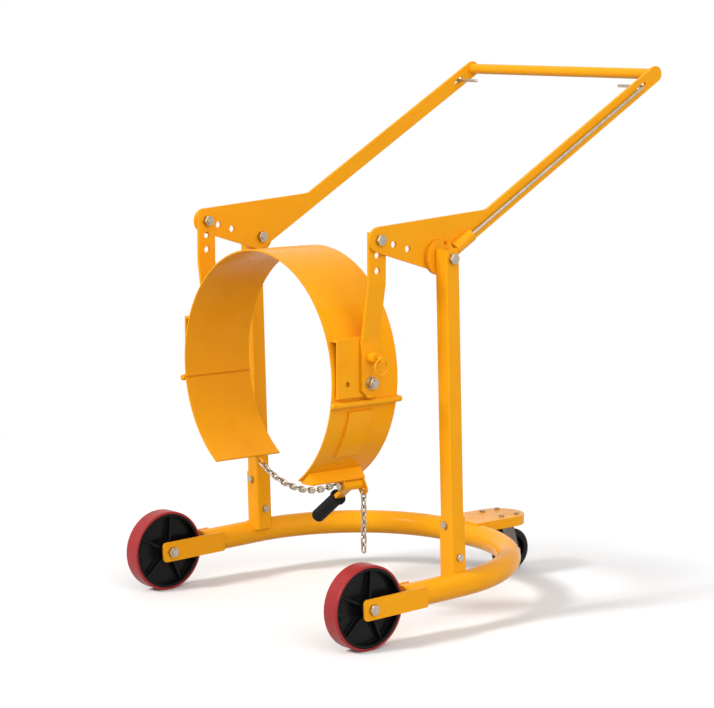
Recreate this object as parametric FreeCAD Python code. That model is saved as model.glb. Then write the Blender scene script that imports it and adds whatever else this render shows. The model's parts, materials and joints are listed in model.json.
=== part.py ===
import FreeCAD, Part
import math
import os

# Drum tipper: a wheeled U-shaped base with two posts, a hand lever on the posts, and a hinged saddle
# that hangs from the lever on two straps and closes round its load with a chain.
# Millimetres. +X is the operator's end (rear), -Y the machine's left, +Z up, floor at Z = 0.
# The origin is on the floor, midway between the front of the wheels and the end of the lever.
# Across the machine, sizes build outwards: band, trunnion bracket, hanger, lever, latch disc, post, wheel.

V = FreeCAD.Vector
X_DIR = V(1, 0, 0)
Y_DIR = V(0, 1, 0)
Z_DIR = V(0, 0, 1)
LEFT, RIGHT = -1, 1

# Clearances and margins
run_clear = 0.06        # radial play of a shaft that turns in its hole
slip_clear = 0.15       # radial play of a bolt in a plate of its own assembly
face_clear = 0.4        # gap between flat faces that slide on each other
weld_gap = 0.2          # gap left where a coped edge is welded to a round face
over = 1.0              # how far a cut runs past the face that it cuts
lap = 2.0               # how far two stretches of one piece run into each other

# Hexagon bolts and nuts
m16_d = 16.0
m16_flats = 24.0
m16_head = 10.0
m16_nut = 13.0
m10_d = 10.0
m10_flats = 17.0
m10_head = 6.4
m10_nut = 8.0
m8_d = 8.0
m8_flats = 13.0
m8_head = 5.3
m8_nut = 6.5
hex_bevel = 0.06        # bevel of a head, as a share of its width across flats
thread_proud = 2.0      # thread that shows past a nut
washer_d = 30.0
washer_thick = 3.0

# Saddle band and its trunnion brackets
band_r = 288.0          # inside
band_thick = 4.0
band_width = 196.0
bracket_stand = 9.0     # bracket's outer face off the band
bracket_thick = 6.0
bracket_up = 105.0
bracket_down = 32.0
bracket_inset = 8.0     # front end behind the band's front edge
bracket_behind = 24.0   # rear end behind the trunnion
boss_d = 38.0
saddle_gap = 2.0        # bracket to hanger

# Hangers
hanger_width = 50.0
hanger_thick = 8.0
hanger_length = 334.0   # between its two pivots
hanger_top = 18.0       # above the upper pivot
hanger_foot = 35.0      # below the lower pivot
hanger_chamfer = 18.0
hanger_pitch = 36.0     # spare holes below the upper pivot
joggle_step = 24.6      # how far the strap steps outwards
joggle_start = 102.0    # below the upper pivot
joggle_above = 95.0     # above the lower pivot
joggle_r = 24.0
spare_holes = 2

# Index pin that locks the saddle level or upright
index_radius = 60.0     # index holes round the trunnion
index_pin_d = 12.0
index_travel = 9.0
index_housing_d = 26.0
index_housing_wall = 3.0
index_collar_d = 17.0
index_collar = 2.5
index_spring_room = 9.0
index_spring_turns = 3
stem_d = 6.0
knob_d = 14.0
knob_length = 11.0
ring_r = 19.0
ring_wire = 4.4

# Lever: one flat plate a side, with its arm
lever_thick = 8.0
hanger_reach = 175.0    # lever pivot forward to the hanger bolt
hanger_rise = 50.0
nose_r = 30.0
top_edge_deg = 4.0
low_edge_deg = -17.0
heel_r = 28.0
kink_r = 30.0
hole_pitch = 44.0       # spare holes along the plate's lower edge
arm_deg = 30.4
arm_drop = 9.0          # arm's centre line below the lever pivot
arm_width = 40.0
arm_reach = 828.0       # along the arm to the cross bar
bar_od = 27.0
bar_wall = 2.5

# Lever latch: a spring plunger on the arm and a notched disc on the post
disc_r = 42.0
disc_thick = 13.6
notch_floor = 1.0       # room under a seated plunger
notch_r = 2.0
lower_deg = 53.0        # lever swing from carrying to setting down
plunger_d = 10.0
plunger_length = 24.0
latch_in_travel = 11.0  # plunger drops this far into a notch
latch_out_travel = 12.0 # and is pulled this far clear of the rim
housing_r = 16.0
housing_gap = 5.0       # housing to the disc
front_guide = 12.0
rear_guide = 6.0
chamber_r = 6.5
chamber_length = 42.0
spring_wire = 1.2
spring_turns = 6
rod_d = 8.0
rod_short = 59.0        # rod's cross piece short of the cross bar
finger_length = 70.0    # cross piece inside the arm
slot_clear = 0.6

# Posts and their sockets
post_side = 40.0
post_wall = 3.0
post_corner = 4.0
post_setback = 292.0    # wheel axle to the posts, along the frame
pivot_rise = 775.0      # lever pivot above the frame's centre line
post_above_pivot = 22.0
post_gap = 8.0          # foot of the post above the tube
socket_wall = 3.0
socket_top = 161.0      # above the frame's centre line
socket_foot = 12.0
front_bolt_rise = 145.0
side_bolt_rise = 66.0

# Base frame, before it is raked
leg_offset = 19.0       # tube's legs outside the middle of the posts
tube_od = 60.0
tube_wall = 3.0
back_straight = 60.0    # straight back of the tube, between its two bends
tube_end_gap = 14.0     # front end of the tube to the tyre
rake_deg = 1.8          # the caster holds the rear of the frame this much higher
cheek_thick = 6.0
cheek_height = 50.0
cheek_lap = 52.0        # how far a fork cheek runs back along the tube
cheek_corner = 5.0
cheek_nose = 10.0       # corners beside the axle

# Front wheels
wheel_d = 200.0
wheel_width = 45.0
tyre_depth = 6.0
tyre_round = 3.0
bush_wall = 4.0
boss_r = 24.0
boss_gap = 2.0          # hub's boss to a fork cheek
boss_round = 3.0
web_thick = 8.0
rim_thick = 7.0
rim_round = 2.0
spoke_count = 5
spoke_thick = 6.0
spoke_shoulder = 6.0    # ribs stop this far inside the ends of the boss
spoke_fall = 7.5        # and this far inside the sides of the rim
spoke_deg = 8.0

# Hinges and jaws
hinge_deg = 9.1         # below the saddle's axis
barrel_r = 7.5
barrel_stand = 8.2      # barrel's axis off the band
knuckle_front = 44.0
knuckle_mid = 52.0
knuckle_gap = 0.5
hinge_slit = 2.2        # half the slit between band and jaw
hinge_pin_d = 9.0
pin_head_d = 14.0
pin_head = 6.0
jaw_end_deg = 56.0
rib_width = 70.0        # raised panel down the middle of a jaw
rib_offset = -12.0
rib_thick = 8.0
rib_start_deg = 13.0
rib_end_deg = 37.0

# Chain tensioner on the left jaw
tension_deg = 53.0      # place of its pivot, below the saddle's axis
tension_stand = 34.0    # pivot off the band
tension_offset = 35.0   # along X from the saddle's middle
ear_gap = 54.0
ear_r = 14.0
ear_round = 10.0
flange_thick = 6.0
flange_height = 30.0
flange_back = 16.0      # flange behind the pivot
flange_inset = 6.0      # flange from the jaw's front edge
gusset_toe = 8.0
lever_hub_r = 13.0
claw_width = 10.0
claw_reach = 24.0
claw_round = 3.0
claw_clear = 2.0        # claw's tip to the jaw
bar_flat = 26.0
bar_flat_thick = 10.0
grip_start = 58.0
grip_length = 106.0
grip_d = 33.0
grip_round = 8.0
grip_collar_d = 40.0
grip_collar = 9.0
grip_collar_round = 2.0
grip_floor = 24.0       # solid end of the grip past the bar

# Chain
chain_wire = 5.0
link_inside = 18.5
link_width = 17.0
link_slack = 0.3
tail_links = 8
chain_stand = 8.0       # chain's middle line off the band
hook_play = 1.0         # a plate that hooks into a link, each side
eye_r = 5.0             # holes that hold the chain's ends
eye_rim = 6.0
tail_eye_stand = 19.0   # tail's eye outside the tensioner's pivot
anchor_lap = 24.0       # how far the chain's anchor runs up the right jaw

# Caster
caster_behind = 127.0   # swivel axis behind the tube's middle line
caster_d = 110.0
caster_width = 32.0
caster_round = 9.0
caster_trail = 38.0
sheet_half = 65.0
sheet_skirt = 25.0
sheet_thick = 6.0
sheet_sink = 1.5        # the bracket is let into the tube by this much
sheet_front = 10.0      # front edge of the bracket, ahead of the tube's middle line
plate_x = 80.0
plate_y = 100.0
plate_thick = 4.0
plate_corner = 20.0
bolt_x = 52.0
bolt_y = 74.0
race_r = 27.0
race_in = 12.0
race_height = 3.0
ball_r = 3.0
ball_count = 12
ball_ring = 19.5
ball_gap = 0.3
crown_r = 32.0
crown_thick = 6.0
crown_rim = 2.5
crown_round = 4.0
kingpin_d = 12.0
kingpin_nut = 7.0
kingpin_flats = 19.0
fork_gap = 44.0
fork_thick = 4.0
fork_tip = 15.0         # around the axle, before and behind it and below
fork_tip_round = 12.0
fork_heel = 6.0         # rear edge of a fork leg behind the crown's chord
caster_hub_r = 13.0
caster_hub_round = 2.0
caster_rim_r = 40.0
caster_rim = 5.0
caster_rim_round = 1.5
caster_web = 8.0

# Across the machine, from the band outwards
band_out = band_r + band_thick
bracket_out = band_out + bracket_stand
hanger_low_in = bracket_out + saddle_gap
hanger_low_out = hanger_low_in + hanger_thick
hanger_up_in = hanger_low_in + joggle_step
hanger_up_out = hanger_up_in + hanger_thick
lever_in = hanger_up_out + face_clear
lever_out = lever_in + lever_thick
disc_in = lever_out + face_clear
post_in = disc_in + disc_thick
post_y = post_in + post_side / 2
post_out = post_in + post_side
leg_y = post_y + leg_offset
tube_r = tube_od / 2
bend_r = leg_y - back_straight / 2
cheek_in = leg_y - tube_r - cheek_thick
cheek_out = leg_y + tube_r
latch_y = disc_in + disc_thick / 2
rod_bend_r = latch_y - lever_out
rod_reach = arm_reach - rod_short

# Along the machine and up, from the wheel axle
rake = math.radians(rake_deg)
wheel_r = wheel_d / 2
tube_front = wheel_r + tube_end_gap
arm_dir = V(math.cos(math.radians(arm_deg)), 0, math.sin(math.radians(arm_deg)))
arm_up = V(-arm_dir.z, 0, arm_dir.x)
pivot_ahead = post_setback * math.cos(rake) - pivot_rise * math.sin(rake)
arm_end_x = (arm_dir * arm_reach - arm_up * arm_drop).x + arm_width / 2
axle = V((wheel_r + pivot_ahead - arm_end_x) / 2 - pivot_ahead, 0, wheel_r)
pivot = axle + V(pivot_ahead, 0, post_setback * math.sin(rake) + pivot_rise * math.cos(rake))
hanger_pin = pivot + V(-hanger_reach, 0, hanger_rise)
trunnion = hanger_pin - V(0, 0, hanger_length)
x_front = trunnion.x - band_width / 2
x_rear = trunnion.x + band_width / 2
link_inner_r = link_width / 2 - chain_wire
hook_half = link_inner_r - hook_play
ear_thick = 2 * hook_half
hook_nip = link_inner_r - math.sqrt(link_inner_r ** 2 - (hook_half + face_clear) ** 2)
M16 = (m16_d, m16_flats, m16_head, m16_nut)
M10 = (m10_d, m10_flats, m10_head, m10_nut)
M8 = (m8_d, m8_flats, m8_head, m8_nut)


def cylinder(radius, length, base, direction):
    return Part.makeCylinder(radius, length, base, direction)


def slab(low, high):
    return Part.makeBox(high.x - low.x, high.y - low.y, high.z - low.z, low)


def side_cylinder(radius, spot, y_from, y_to):
    """A round bar along Y, through the X and Z of spot."""
    return cylinder(radius, y_to - y_from, V(spot.x, y_from, spot.z), Y_DIR)


def side_hole(radius, spot, y_from, y_to):
    """The cut for a hole along Y through a wall from y_from to y_to."""
    return side_cylinder(radius, spot, y_from - over, y_to + over)


def hexagon(flats, height, base, direction):
    """A hexagonal head or nut that stands on base along direction, bevelled at its far end."""
    corner_r = flats / math.sqrt(3)
    bevel = flats * hex_bevel
    turns = [math.radians(60 * i) for i in range(7)]
    outline = Part.makePolygon([V(corner_r * math.cos(a), corner_r * math.sin(a), 0) for a in turns])
    prism = Part.Face(outline).extrude(V(0, 0, height))
    blank = cylinder(corner_r, height - bevel, V(0, 0, 0), Z_DIR)
    blank = blank.fuse(Part.makeCone(corner_r, corner_r - 2 * bevel, bevel, V(0, 0, height - bevel)))
    head = prism.common(blank)
    head.Placement = FreeCAD.Placement(base, FreeCAD.Rotation(Z_DIR, direction))
    return head


def bolt(thread, length, base, direction):
    """A bolt whose shank runs from base along direction, with its head on the other side."""
    d, flats, head, nut_height = thread
    return cylinder(d / 2, length, base, direction).fuse(hexagon(flats, head, base, -direction))


def nut(thread, base, direction):
    """A nut that stands on base along direction."""
    d, flats, head, nut_height = thread
    bore = cylinder(d / 2 + slip_clear, nut_height + 2 * over, base - direction * over, direction)
    return hexagon(flats, nut_height, base, direction).cut(bore)


def rounded_outline(corners, place):
    """Closed wire through (u, v, radius) corners; place(u, v) gives each point in space."""
    flat = [V(u, v, 0) for u, v, radius in corners]
    count = len(corners)
    starts, mids, ends = [], [], []
    for i, (u, v, radius) in enumerate(corners):
        back = (flat[i - 1] - flat[i]).normalize()
        ahead = (flat[(i + 1) % count] - flat[i]).normalize()
        half = back.getAngle(ahead) / 2
        middle = (back + ahead).normalize()
        starts.append(flat[i] + back * (radius / math.tan(half)))
        ends.append(flat[i] + ahead * (radius / math.tan(half)))
        mids.append(flat[i] + middle * (radius / math.sin(half) - radius))
    edges = []
    for i in range(count):
        a, b, c = (place(p.x, p.y) for p in (starts[i], mids[i], ends[i]))
        if corners[i][2] > 0:
            edges.append(Part.Arc(a, b, c).toShape())
        following = place(starts[(i + 1) % count].x, starts[(i + 1) % count].y)
        if c.distanceToPoint(following) > 1e-6:
            edges.append(Part.LineSegment(c, following).toShape())
    return Part.Wire(edges)


def plate_xz(corners, y_from, y_to):
    """A flat plate cut to an outline in the XZ plane."""
    outline = rounded_outline(corners, lambda u, v: V(u, y_from, v))
    return Part.Face(outline).extrude(V(0, y_to - y_from, 0))


def plate_yz(corners, x_from, x_to):
    """A flat plate cut to an outline in the YZ plane."""
    outline = rounded_outline(corners, lambda u, v: V(x_from, u, v))
    return Part.Face(outline).extrude(V(x_to - x_from, 0, 0))


def plate_xy(corners, z_from, z_to):
    """A flat plate cut to an outline in the XY plane."""
    outline = rounded_outline(corners, lambda u, v: V(u, v, z_from))
    return Part.Face(outline).extrude(V(0, 0, z_to - z_from))


def square_bar(side, corner, z_from, z_to):
    """An upright square bar with rounded corners, on the right-hand post's line."""
    x_low, x_high = post_setback - side / 2, post_setback + side / 2
    y_low, y_high = post_y - side / 2, post_y + side / 2
    corners = [(x_low, y_low, corner), (x_high, y_low, corner),
               (x_high, y_high, corner), (x_low, y_high, corner)]
    return plate_xy(corners, z_from, z_to)


def turned(profile, centre, axis):
    """A solid of revolution from (radius, height, corner radius) points, turned round axis at centre."""
    outline = rounded_outline(profile, lambda u, v: V(u, 0, v))
    solid = Part.Face(outline).revolve(V(0, 0, 0), Z_DIR, 360)
    solid.Placement = FreeCAD.Placement(centre, FreeCAD.Rotation(Z_DIR, axis))
    return solid


def mirrored(shape):
    return shape.mirror(V(0, 0, 0), Y_DIR)


def on_side(shape, side):
    """A piece modelled on the right (+Y), or its mirror image on the left."""
    return shape if side == RIGHT else mirrored(shape)


def both(shape):
    return [mirrored(shape), shape]


def raked(shape):
    """Sets a piece of the base frame, modelled level from the wheel axle, at the frame's rake."""
    placed = shape.copy()
    placed.rotate(V(0, 0, 0), Y_DIR, -rake_deg)
    placed.translate(axle)
    return placed


def frame_point(x, z):
    """A point of the base frame, from the axle, after raking."""
    return axle + V(x * math.cos(rake) - z * math.sin(rake), 0, x * math.sin(rake) + z * math.cos(rake))


def along_arm(s, across=0.0):
    """A point on the arm, s from the foot of the pivot and across from its centre line."""
    return pivot + arm_dir * s + arm_up * (across - arm_drop)


def round_saddle(shape, deg):
    """Turns a piece modelled over the top of the saddle (radius up) round the saddle's axis."""
    placed = shape.copy()
    placed.rotate(V(0, 0, 0), X_DIR, deg)
    placed.translate(V(0, 0, trunnion.z))
    return placed


def saddle_shell(r_in, r_out, x_from, x_to, deg_from, deg_to):
    """An arc of sheet round the saddle's axis, from deg_from to deg_to as round_saddle counts them."""
    corners = [V(x_from, 0, r_in), V(x_to, 0, r_in), V(x_to, 0, r_out), V(x_from, 0, r_out)]
    section = Part.makePolygon(corners + corners[:1])
    arc = Part.Face(section).revolve(V(0, 0, 0), X_DIR, deg_to - deg_from)
    return round_saddle(arc, deg_from)


def meet(p, p_deg, q, q_deg):
    """Where two lines in the XZ plane cross, each from a point and its slope in degrees."""
    d = V(math.cos(math.radians(p_deg)), 0, math.sin(math.radians(p_deg)))
    e = V(math.cos(math.radians(q_deg)), 0, math.sin(math.radians(q_deg)))
    t = ((q.x - p.x) * e.z - (q.z - p.z) * e.x) / (d.x * e.z - d.z * e.x)
    return p + d * t


def coil(radius, length, turns, base, direction):
    """A compression spring as one unbroken wire, each quarter turn an arc."""
    quarters = 4 * turns

    def point(quarter):
        angle = math.radians(90 * quarter)
        return V(radius * math.cos(angle), radius * math.sin(angle), length * quarter / quarters)

    path = Part.Wire([Part.Arc(point(i), point(i + 0.5), point(i + 1)).toShape() for i in range(quarters)])
    tangent = path.Edges[0].tangentAt(path.Edges[0].FirstParameter)
    section = Part.Wire([Part.makeCircle(spring_wire / 2, point(0), tangent)])
    spring = path.makePipeShell([section], True, False)
    spring.Placement = FreeCAD.Placement(base, FreeCAD.Rotation(Z_DIR, direction))
    return spring


def save(name, *shapes):
    solids = [solid for shape in shapes for solid in shape.Solids]
    shape = solids[0] if len(solids) == 1 else Part.makeCompound(solids)
    shape.exportStep("parts/%s.step" % name)


os.makedirs("parts", exist_ok=True)


# Base tube: one pipe bent to a U, its two legs forward
def tube_solid(radius):
    leg = cylinder(radius, post_setback - tube_front, V(tube_front, leg_y, 0), X_DIR)
    ring = Part.Face(Part.Wire([Part.makeCircle(radius, V(post_setback, leg_y, 0), X_DIR)]))
    bend = ring.revolve(V(post_setback, leg_y - bend_r, 0), Z_DIR, -90)
    back = cylinder(radius, back_straight, V(post_setback + bend_r, -back_straight / 2, 0), Y_DIR)
    return raked(back.fuse(both(bend) + both(leg)))


base_tube = tube_solid(tube_r).cut(tube_solid(tube_r - tube_wall))
save("base_tube", base_tube.removeSplitter())
tube_cope = tube_solid(tube_r + weld_gap)

cap = cylinder(tube_r - tube_wall - weld_gap, tube_wall, V(tube_front, leg_y, 0), X_DIR)
save("tube_caps", *[raked(piece) for piece in both(cap)])


# Wheel forks: two cheeks welded to the sides of each leg, open between them for the wheel
def fork_cheek(y_from):
    half = cheek_height / 2
    rear = tube_front + cheek_lap
    corners = [(-half, -half, cheek_nose), (rear, -half, cheek_corner),
               (rear, half, cheek_corner), (-half, half, cheek_nose)]
    plate = plate_xz(corners, y_from, y_from + cheek_thick)
    return plate.cut(side_hole(m16_d / 2 + slip_clear, V(0, 0, 0), y_from, y_from + cheek_thick))


for side, name in ((LEFT, "left"), (RIGHT, "right")):
    save("%s_fork_cheeks" % name, *[raked(on_side(fork_cheek(y), side)) for y in (cheek_in, cheek_out)])

# Wheel axles: a bolt through both cheeks with its head outside, and washers beside the hub
axle_head = V(0, cheek_out + cheek_thick, 0)
axle_length = cheek_out + cheek_thick - cheek_in + m16_nut + thread_proud
axle_set = [bolt(M16, axle_length, axle_head, -Y_DIR), nut(M16, V(0, cheek_in, 0), -Y_DIR)]
save("wheel_axles", *[raked(piece) for item in axle_set for piece in both(item)])
axle_washers = []
for y in (cheek_in + cheek_thick, cheek_out - boss_gap + face_clear):
    ring = side_cylinder(washer_d / 2, V(0, 0, 0), y, y + boss_gap - face_clear)
    axle_washers.append(ring.cut(side_hole(m16_d / 2 + slip_clear, V(0, 0, 0), y, y + boss_gap)))
save("axle_washers", *[raked(piece) for item in axle_washers for piece in both(item)])

# Front wheels: cast hub with ribs, bonded tyre and a plain bush on the axle
tyre_in = wheel_r - tyre_depth
rim_in = tyre_in - rim_thick
bush_r = m16_d / 2 + bush_wall
boss_half = tube_r - boss_gap
wheel_half = wheel_width / 2


def sleeve(r_in, r_out, half, round_in=0, round_out=0):
    """A ring round the Y axis, both ends alike."""
    profile = [(r_in, -half, round_in), (r_out, -half, round_out),
               (r_out, half, round_out), (r_in, half, round_in)]
    return turned(profile, V(0, 0, 0), Y_DIR)


def wheel_hub():
    rim = sleeve(rim_in, tyre_in, wheel_half, rim_round, 0)
    boss = sleeve(bush_r, boss_r, boss_half, 0, boss_round)
    web = sleeve(boss_r - lap, rim_in + lap, web_thick / 2)
    low = boss_half - spoke_shoulder
    high = wheel_half - spoke_fall
    corners = [(-low, boss_r - lap, 0), (-high, rim_in + lap, 0),
               (high, rim_in + lap, 0), (low, boss_r - lap, 0)]
    ribs = []
    for i in range(spoke_count):
        rib = plate_yz(corners, -spoke_thick / 2, spoke_thick / 2)
        rib.rotate(V(0, 0, 0), Y_DIR, 360 / spoke_count * i + spoke_deg)
        ribs.append(rib)
    return rim.fuse([boss, web] + ribs)


wheel_pieces = {
    "wheel_hub": wheel_hub(),
    "wheel_tyre": sleeve(tyre_in, wheel_r, wheel_half, 0, tyre_round),
    "wheel_bush": sleeve(m16_d / 2 + run_clear, bush_r, boss_half),
}
for name, piece in wheel_pieces.items():
    piece.translate(axle + V(0, leg_y, 0))
    save("left_%s" % name, mirrored(piece))
    save("right_%s" % name, piece)

# Posts: square tubes bolted into sockets that are coped on to the base tube
socket_in = post_side + 2 * slip_clear
socket_side = socket_in + 2 * socket_wall
post_top = pivot_rise + post_above_pivot
post_foot = tube_r + post_gap
bolt_r = m10_d / 2 + slip_clear
front_start = V(post_setback - socket_side / 2, post_y, front_bolt_rise)
side_start = V(post_setback, post_y + socket_side / 2, side_bolt_rise)
bolt_holes = [cylinder(bolt_r, socket_side + 2 * over, front_start - X_DIR * over, X_DIR),
              cylinder(bolt_r, socket_side + 2 * over, side_start + Y_DIR * over, -Y_DIR)]
outer = square_bar(socket_side, post_corner + socket_wall, socket_foot, socket_top)
inner = square_bar(socket_in, post_corner, socket_foot - over, socket_top + over)
socket = outer.cut([inner] + bolt_holes)
outer = square_bar(post_side, post_corner, post_foot, post_top)
inner_corner = max(post_corner - post_wall, 0)
inner = square_bar(post_side - 2 * post_wall, inner_corner, post_foot - over, post_top + over)
pivot_hole = side_hole(m16_d / 2 + slip_clear, V(post_setback, 0, pivot_rise), post_in, post_out)
post = outer.cut([inner, pivot_hole] + bolt_holes)
for side, name in ((LEFT, "left"), (RIGHT, "right")):
    save("%s_socket" % name, raked(on_side(socket, side)).cut(tube_cope))
    save("%s_post" % name, raked(on_side(post, side)))

socket_bolts = []
for start, way in ((front_start, X_DIR), (side_start, -Y_DIR)):
    socket_bolts.append(bolt(M10, socket_side + m10_nut + thread_proud, start, way))
    socket_bolts.append(nut(M10, start + way * socket_side, way))
save("socket_bolts", *[raked(piece) for item in socket_bolts for piece in both(item)])


# Lever pivots: a bolt through each post, its notched latch disc and the lever plate
def latch_disc():
    disc = side_cylinder(disc_r, pivot, disc_in, post_in)
    disc = disc.cut(side_hole(m16_d / 2 + slip_clear, pivot, disc_in, post_in))
    half = plunger_d / 2 + face_clear
    floor = disc_r - latch_in_travel - notch_floor
    mouth = disc_r + over
    corners = [(floor, -arm_drop - half, notch_r), (mouth, -arm_drop - half, 0),
               (mouth, -arm_drop + half, 0), (floor, -arm_drop + half, notch_r)]
    for swing in (0, lower_deg):
        notch = plate_xz(corners, disc_in - over, post_in + over)
        notch.rotate(V(0, 0, 0), Y_DIR, -arm_deg - swing)
        notch.translate(pivot)
        disc = disc.cut(notch)
    return disc


pivot_nut_face = lever_in - face_clear
pivot_length = post_out - pivot_nut_face + m16_nut + thread_proud
pivot_set = [bolt(M16, pivot_length, V(pivot.x, post_out, pivot.z), -Y_DIR),
             nut(M16, V(pivot.x, pivot_nut_face, pivot.z), -Y_DIR)]
save("latch_discs", *both(latch_disc()))
save("pivot_bolts", *[piece for item in pivot_set for piece in both(item)])


# Lever plates: nose on the hanger, body round the pivot and the long arm, cut from one sheet
def lever_plate():
    half = arm_width / 2
    nose_up = V(-math.sin(math.radians(top_edge_deg)), 0, math.cos(math.radians(top_edge_deg)))
    nose_low = V(-math.sin(math.radians(low_edge_deg)), 0, math.cos(math.radians(low_edge_deg)))
    top_edge = hanger_pin + nose_up * nose_r
    low_edge = hanger_pin - nose_low * nose_r
    nose = meet(top_edge, top_edge_deg, low_edge, low_edge_deg)
    kink = meet(top_edge, top_edge_deg, along_arm(0, half), arm_deg)
    heel = meet(low_edge, low_edge_deg, along_arm(0, -half), arm_deg)
    end_low = along_arm(arm_reach + half, -half)
    end_up = along_arm(arm_reach + half, half)
    corners = [(nose.x, nose.z, nose_r), (heel.x, heel.z, heel_r), (end_low.x, end_low.z, half),
               (end_up.x, end_up.z, half), (kink.x, kink.z, kink_r)]
    hole_r = m16_d / 2 + run_clear
    low_dir = V(nose_low.z, 0, -nose_low.x)
    spots = [pivot] + [hanger_pin + low_dir * (hole_pitch * i) for i in range(spare_holes + 1)]
    cuts = [side_hole(hole_r, spot, lever_in, lever_out) for spot in spots]
    slot_r = rod_d / 2 + slot_clear
    first, last = rod_reach - latch_in_travel, rod_reach + latch_out_travel
    slot = [along_arm(first - slot_r, -slot_r), along_arm(last + slot_r, -slot_r),
            along_arm(last + slot_r, slot_r), along_arm(first - slot_r, slot_r)]
    cuts.append(plate_xz([(p.x, p.z, slot_r) for p in slot], lever_in - over, lever_out + over))
    return plate_xz(corners, lever_in, lever_out).cut(cuts)


plate = lever_plate()
save("left_lever_arm", mirrored(plate))
save("right_lever_arm", plate)

bar_at = along_arm(arm_reach)
handle_bar = side_cylinder(bar_od / 2, bar_at, -lever_in, lever_in)
save("handle_bar", handle_bar.cut(side_hole(bar_od / 2 - bar_wall, bar_at, -lever_in, lever_in)))


# Lever latches: housing on the arm, plunger and pull rod in one, return spring
def at_latch(s):
    return along_arm(s) + V(0, latch_y, 0)


housing_start = disc_r + housing_gap
chamber_start = housing_start + front_guide
spring_seat = chamber_start + chamber_length
housing_end = spring_seat + rear_guide
plunger_tip = disc_r + face_clear
shoulder = plunger_tip + plunger_length


def latch_housing():
    body = cylinder(housing_r, housing_end - housing_start, at_latch(housing_start), arm_dir)
    behind = slab(V(pivot.x - housing_end, lever_out - 2 * housing_r, pivot.z - housing_end),
                  V(pivot.x + 2 * housing_end, lever_out, pivot.z + 2 * housing_end))
    guide_start = at_latch(housing_start - over)
    guide = cylinder(plunger_d / 2 + run_clear, front_guide + 2 * over, guide_start, arm_dir)
    chamber = cylinder(chamber_r, chamber_length, at_latch(chamber_start), arm_dir)
    rear = cylinder(rod_d / 2 + run_clear, rear_guide + 2 * over, at_latch(spring_seat - over), arm_dir)
    return body.cut([behind, guide, chamber, rear])


def release_rod():
    bend_start = rod_reach - rod_bend_r
    plunger = cylinder(plunger_d / 2, plunger_length, at_latch(plunger_tip), arm_dir)
    straight = cylinder(rod_d / 2, bend_start - shoulder, at_latch(shoulder), arm_dir)
    ring = Part.Face(Part.Wire([Part.makeCircle(rod_d / 2, at_latch(bend_start), arm_dir)]))
    bend = ring.revolve(at_latch(bend_start) - V(0, rod_bend_r, 0), -arm_up, 90)
    inward = latch_y - rod_bend_r - lever_in + finger_length
    finger = cylinder(rod_d / 2, inward, at_latch(rod_reach) - V(0, rod_bend_r, 0), -Y_DIR)
    tip = Part.makeSphere(rod_d / 2, at_latch(rod_reach) - V(0, rod_bend_r + inward, 0))
    return plunger.fuse([straight, bend, finger, tip]).removeSplitter()


latch_spring = coil((rod_d + 2 * chamber_r) / 4, spring_seat - shoulder - 2 * spring_wire, spring_turns,
                    at_latch(shoulder + spring_wire), arm_dir)
for side, name in ((LEFT, "left"), (RIGHT, "right")):
    save("%s_latch_housing" % name, on_side(latch_housing(), side))
    save("%s_release_rod" % name, on_side(release_rod(), side))
    save("%s_latch_spring" % name, on_side(latch_spring, side))


# Hangers: joggled straps from the lever's nose down to the saddle's trunnions
def hanger():
    x_low, x_high = hanger_pin.x - hanger_width / 2, hanger_pin.x + hanger_width / 2
    top = hanger_pin.z + hanger_top
    foot = trunnion.z - hanger_foot
    start = hanger_pin.z - joggle_start
    end = trunnion.z + joggle_above
    outer_r = joggle_r + hanger_thick
    side_view = [(hanger_up_out, top, 0), (hanger_up_in, top, 0), (hanger_up_in, start, joggle_r),
                 (hanger_low_in, end, outer_r), (hanger_low_in, foot, 0), (hanger_low_out, foot, 0),
                 (hanger_low_out, end, joggle_r), (hanger_up_out, start, outer_r)]
    c = hanger_chamfer
    front_view = [(x_low, foot + c, 0), (x_low + c, foot, 0), (x_high - c, foot, 0), (x_high, foot + c, 0),
                  (x_high, top, 0), (x_low, top, 0)]
    strap = plate_yz(side_view, x_low, x_high)
    strap = strap.common(plate_xz(front_view, hanger_low_in - over, hanger_up_out + over))
    hole_r = m16_d / 2 + run_clear
    cuts = [side_hole(hole_r, hanger_pin - V(0, 0, hanger_pitch * i), hanger_up_in, hanger_up_out)
            for i in range(spare_holes + 1)]
    cuts.append(side_hole(hole_r, trunnion, hanger_low_in, hanger_low_out))
    return strap.cut(cuts)


index_spot = trunnion + V(0, 0, index_radius)
index_hole = side_hole(index_pin_d / 2 + run_clear, index_spot, hanger_low_in, hanger_low_out)
save("left_hanger", mirrored(hanger().cut(index_hole)))
save("right_hanger", hanger())

hanger_nut_face = hanger_up_in - face_clear
hanger_bolt_length = lever_out - hanger_nut_face + m16_nut + thread_proud
hanger_set = [bolt(M16, hanger_bolt_length, V(hanger_pin.x, lever_out, hanger_pin.z), -Y_DIR),
              nut(M16, V(hanger_pin.x, hanger_nut_face, hanger_pin.z), -Y_DIR)]
save("hanger_bolts", *[piece for item in hanger_set for piece in both(item)])

# Index pin on the left hanger, drawn out and parked: collar and spring inside the housing, ring outside
pin_tip = hanger_low_in + face_clear
collar_from = hanger_low_out + index_travel + face_clear
collar_to = collar_from + index_collar
cover_from = collar_to + index_spring_room
cover_to = cover_from + index_housing_wall
knob_from = cover_to + index_travel + face_clear
knob_to = knob_from + knob_length
ring_at = index_spot + V(0, (knob_from + knob_to) / 2, 0)

housing = side_cylinder(index_housing_d / 2, index_spot, hanger_low_out, cover_to)
room = side_cylinder(index_collar_d / 2 + slip_clear, index_spot, hanger_low_out - over, cover_from)
housing = housing.cut([room, side_hole(stem_d / 2 + run_clear, index_spot, cover_from, cover_to)])
save("index_housing", mirrored(housing))

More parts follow.
